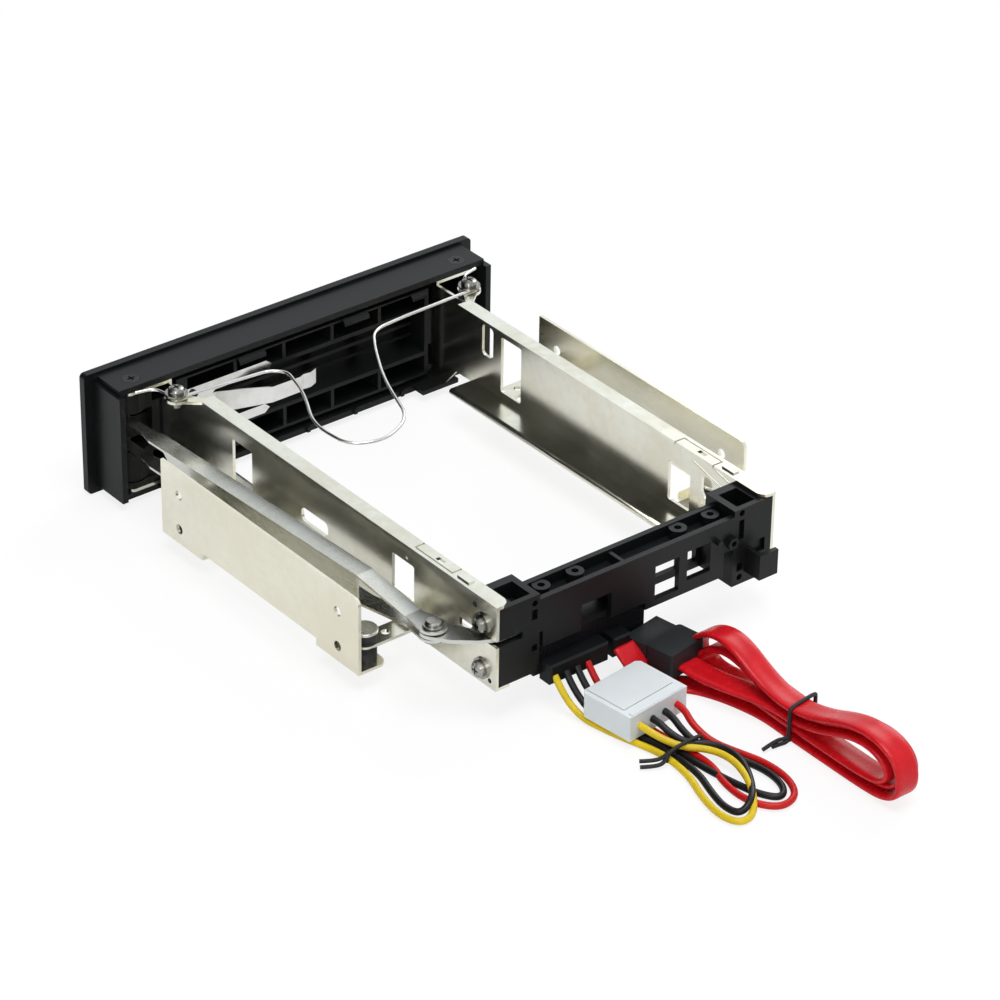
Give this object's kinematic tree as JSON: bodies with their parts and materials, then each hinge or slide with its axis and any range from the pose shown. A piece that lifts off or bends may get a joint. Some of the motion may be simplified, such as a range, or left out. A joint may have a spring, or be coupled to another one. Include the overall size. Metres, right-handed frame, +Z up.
{
  "type": "hot swap drive cage",
  "caption": "Half height bay cage for one hard drive, with a hinged vented door, a door driven ejector lever, rubber mounted rails and a rear connector bracket with cables.",
  "frame": {"origin": "middle of the cage's length and width, at the height of the bezel's lower edge", "axes": "+X to the user's right seen from the front, +Y to the rear, +Z up"},
  "size_m": [0.1486, 0.2801, 0.0426],
  "materials": {
    "black_plastic": "fine grained black moulding",
    "black_gloss": "smooth black moulding",
    "black_steel": "black oxide screws",
    "bright_steel": "bright drawn and turned steel",
    "plated_steel": "zinc plated sheet, satin",
    "black_rubber": "matt rubber",
    "gold_contacts": "gold plated contacts",
    "white_plastic": "natural white nylon",
    "wire_cover": "vinyl cover in black, red and yellow",
    "red_cable": "flat red vinyl cable",
    "red_plug": "dark grey moulding"
  },
  "bodies": {
    "cage": {"bezel_frame": "black_plastic", "bezel_screws": "black_steel", "hinge_pin": "bright_steel", "rail_right": "plated_steel", "rail_left": "plated_steel", "mount_plate_right": "plated_steel", "mount_plate_left": "plated_steel", "rubber_mounts": "black_rubber", "mount_studs": "plated_steel", "bracket_screws": "bright_steel", "retaining_wire": "bright_steel", "wire_screws": "bright_steel", "lever_fulcrum_pin": "bright_steel", "rear_bracket": "black_plastic", "sata_receptacle": "black_gloss", "receptacle_contacts": "gold_contacts", "power_boot": "black_plastic", "data_boot": "black_plastic", "power_lead": "wire_cover", "power_hank": "wire_cover", "power_return": "wire_cover", "power_tie": "white_plastic", "power_connector": "white_plastic", "power_pins": "bright_steel", "data_cable_lead": "red_cable", "data_cable_coil": "red_cable", "data_cable_tie": "black_plastic", "data_cable_plug": "red_plug", "data_plug_boot": "red_plug", "data_plug_strand": "red_cable"},
    "door": {"front_door": "black_plastic", "door_spring_plate": "bright_steel", "crank_pin": "bright_steel"},
    "latch": {"door_latch": "black_plastic"},
    "link": {"ejector_link": "plated_steel"},
    "lever": {"ejector_lever": "plated_steel", "link_rivet": "bright_steel"}
  },
  "joints": [
    {"name": "door_hinge", "type": "hinge", "parent": "cage", "child": "door", "pos_m": [0.061, -0.0846, 0.0215], "axis": [0, 0, 1], "range_deg": [0, 90]},
    {"name": "link_pivot", "type": "hinge", "parent": "door", "child": "link", "pos_m": [0.06454, -0.08814, 0.0223], "axis": [0, 0, 1], "range_deg": [-91, 0]},
    {"name": "lever_pivot", "type": "hinge", "parent": "cage", "child": "lever", "pos_m": [0.044, 0.079, 0.0267], "axis": [0, 0, 1], "range_deg": [0, 21.8]},
    {"name": "latch_slide", "type": "slide", "parent": "door", "child": "latch", "axis": [1, 0, 0], "range_m": [0, 0.0024], "stiffness_N_per_m": 300, "springref_m": -0.002}
  ],
  "couplings": [
    {"joint": "link_pivot", "follows": "door_hinge", "ratio": -1.0104},
    {"joint": "lever_pivot", "follows": "door_hinge", "ratio": 0.24182}
  ]
}
